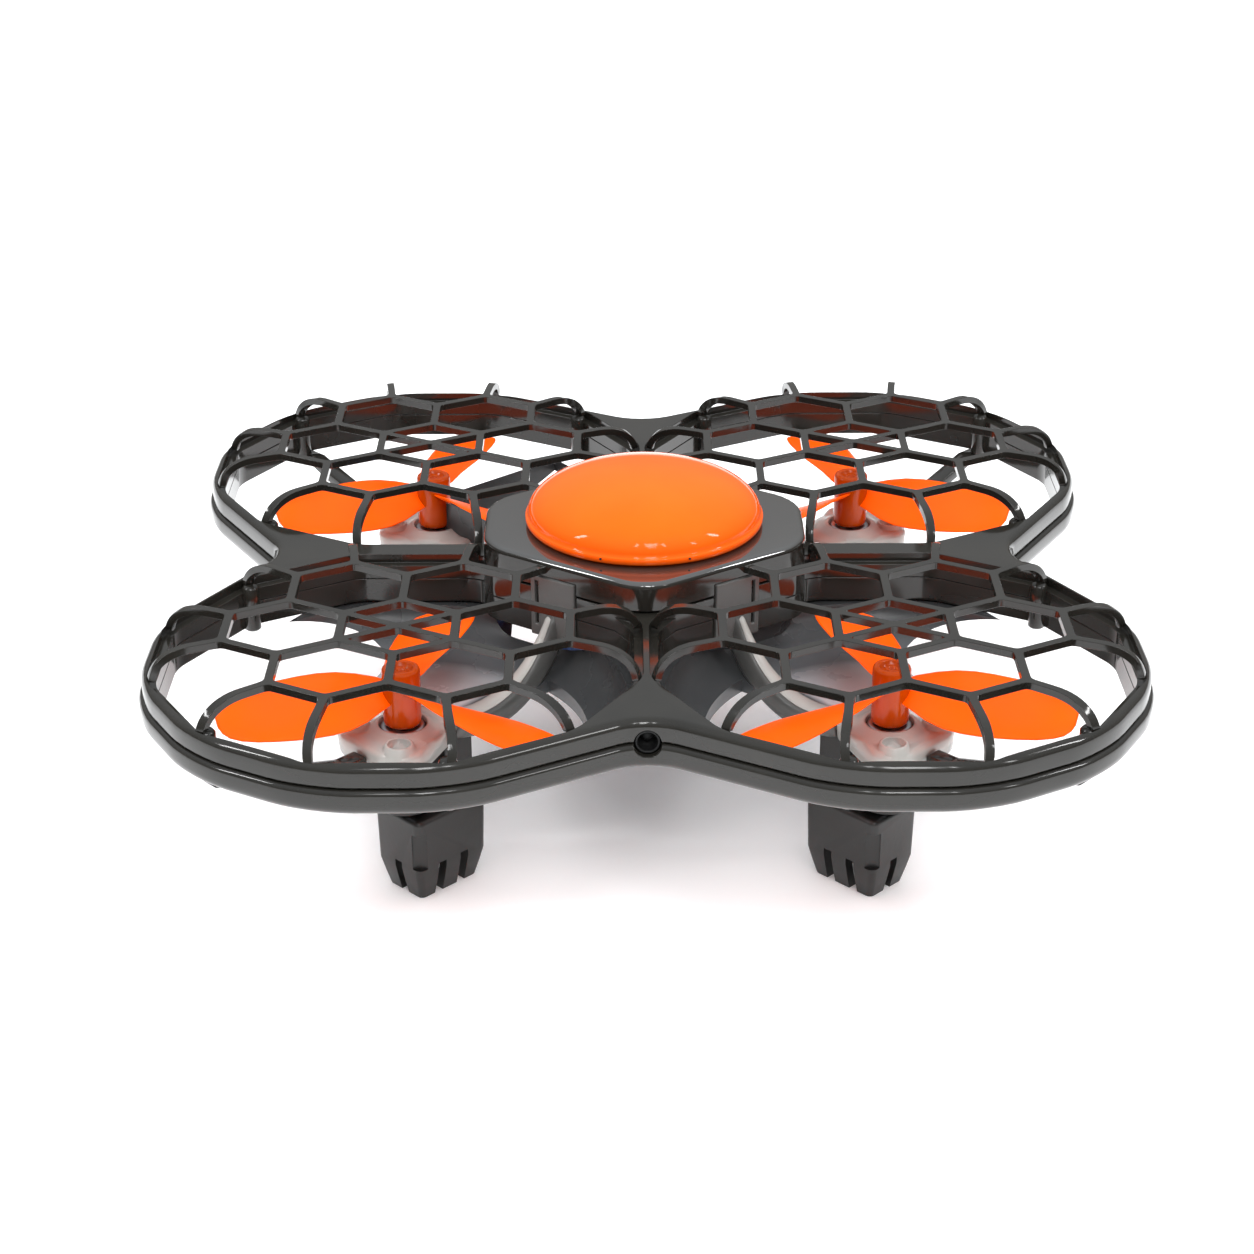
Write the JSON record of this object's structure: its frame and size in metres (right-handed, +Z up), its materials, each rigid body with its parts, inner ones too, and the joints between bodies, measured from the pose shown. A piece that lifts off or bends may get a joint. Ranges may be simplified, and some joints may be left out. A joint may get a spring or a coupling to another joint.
{
  "type": "guarded quadcopter drone",
  "caption": "Small guarded quadcopter: caged three-bladed rotors under honeycomb grilles, a domed centre body and slotted landing feet.",
  "frame": {"origin": "on the ground under the middle of the drone", "axes": "+Z up, -Y towards the front notch with the sensor window, +X to the drone's right when it is seen from the front"},
  "size_m": [0.1558, 0.1542, 0.0563],
  "materials": {
    "smoked_plastic": "glossy dark grey moulded plastic",
    "black_plastic": "satin dark grey moulded plastic",
    "orange_plastic": "bright orange moulded plastic",
    "pale_plastic": "off-white moulded plastic",
    "motor_steel": "drawn steel can",
    "bright_steel": "bright steel",
    "battery_wrap": "shrink wrap",
    "circuit_board": "solder mask",
    "light_board": "white solder mask and clear bulbs",
    "sensor_glass": "black glossy window"
  },
  "bodies": {
    "airframe": {"arm_front_left": "pale_plastic", "arm_front_right": "pale_plastic", "arm_rear_left": "pale_plastic", "arm_rear_right": "pale_plastic", "battery": "battery_wrap", "belly_shell": "black_plastic", "charge_socket": "motor_steel", "dome_lens": "orange_plastic", "foot_front_left": "black_plastic", "foot_front_right": "black_plastic", "foot_rear_left": "black_plastic", "foot_rear_right": "black_plastic", "grille_front_left": "smoked_plastic", "grille_front_right": "smoked_plastic", "grille_rear_left": "smoked_plastic", "grille_rear_right": "smoked_plastic", "light_board": "light_board", "lower_frame": "smoked_plastic", "main_board": "circuit_board", "motor_front_left": "motor_steel", "motor_front_right": "motor_steel", "motor_pod_front_left": "pale_plastic", "motor_pod_front_right": "pale_plastic", "motor_pod_rear_left": "pale_plastic", "motor_pod_rear_right": "pale_plastic", "motor_rear_left": "motor_steel", "motor_rear_right": "motor_steel", "screw_front_left_1": "bright_steel", "screw_front_left_2": "bright_steel", "screw_front_right_1": "bright_steel", "screw_front_right_2": "bright_steel", "screw_rear_left_1": "bright_steel", "screw_rear_left_2": "bright_steel", "screw_rear_right_1": "bright_steel", "screw_rear_right_2": "bright_steel", "sensor_lens": "sensor_glass", "spoke_front_left": "black_plastic", "spoke_front_right": "black_plastic", "spoke_rear_left": "black_plastic", "spoke_rear_right": "black_plastic", "top_cover": "smoked_plastic", "upper_frame": "smoked_plastic"},
    "rotor_front_left": {"rotor_front_left": "orange_plastic", "shaft_front_left": "bright_steel"},
    "rotor_front_right": {"rotor_front_right": "orange_plastic", "shaft_front_right": "bright_steel"},
    "rotor_rear_left": {"rotor_rear_left": "orange_plastic", "shaft_rear_left": "bright_steel"},
    "rotor_rear_right": {"rotor_rear_right": "orange_plastic", "shaft_rear_right": "bright_steel"},
    "button": {"power_button": "orange_plastic"},
    "door": {"battery_door": "black_plastic"}
  },
  "joints": [
    {"name": "spin_front_left", "type": "hinge", "parent": "airframe", "child": "rotor_front_left", "pos_m": [-0.038, -0.0395, 0.0356], "axis": [0, 0, 1], "continuous": true},
    {"name": "spin_front_right", "type": "hinge", "parent": "airframe", "child": "rotor_front_right", "pos_m": [0.038, -0.0395, 0.0356], "axis": [0, 0, 1], "continuous": true},
    {"name": "spin_rear_left", "type": "hinge", "parent": "airframe", "child": "rotor_rear_left", "pos_m": [-0.038, 0.0395, 0.0356], "axis": [0, 0, 1], "continuous": true},
    {"name": "spin_rear_right", "type": "hinge", "parent": "airframe", "child": "rotor_rear_right", "pos_m": [0.038, 0.0395, 0.0356], "axis": [0, 0, 1], "continuous": true},
    {"name": "button_press", "type": "slide", "parent": "airframe", "child": "button", "axis": [0, 0, 1], "range_m": [0, 0.0006], "stiffness_N_per_m": 300},
    {"name": "door_swing", "type": "hinge", "parent": "airframe", "child": "door", "pos_m": [0, -0.0087, 0.022], "axis": [-1, 0, 0], "range_deg": [0, 90]}
  ]
}
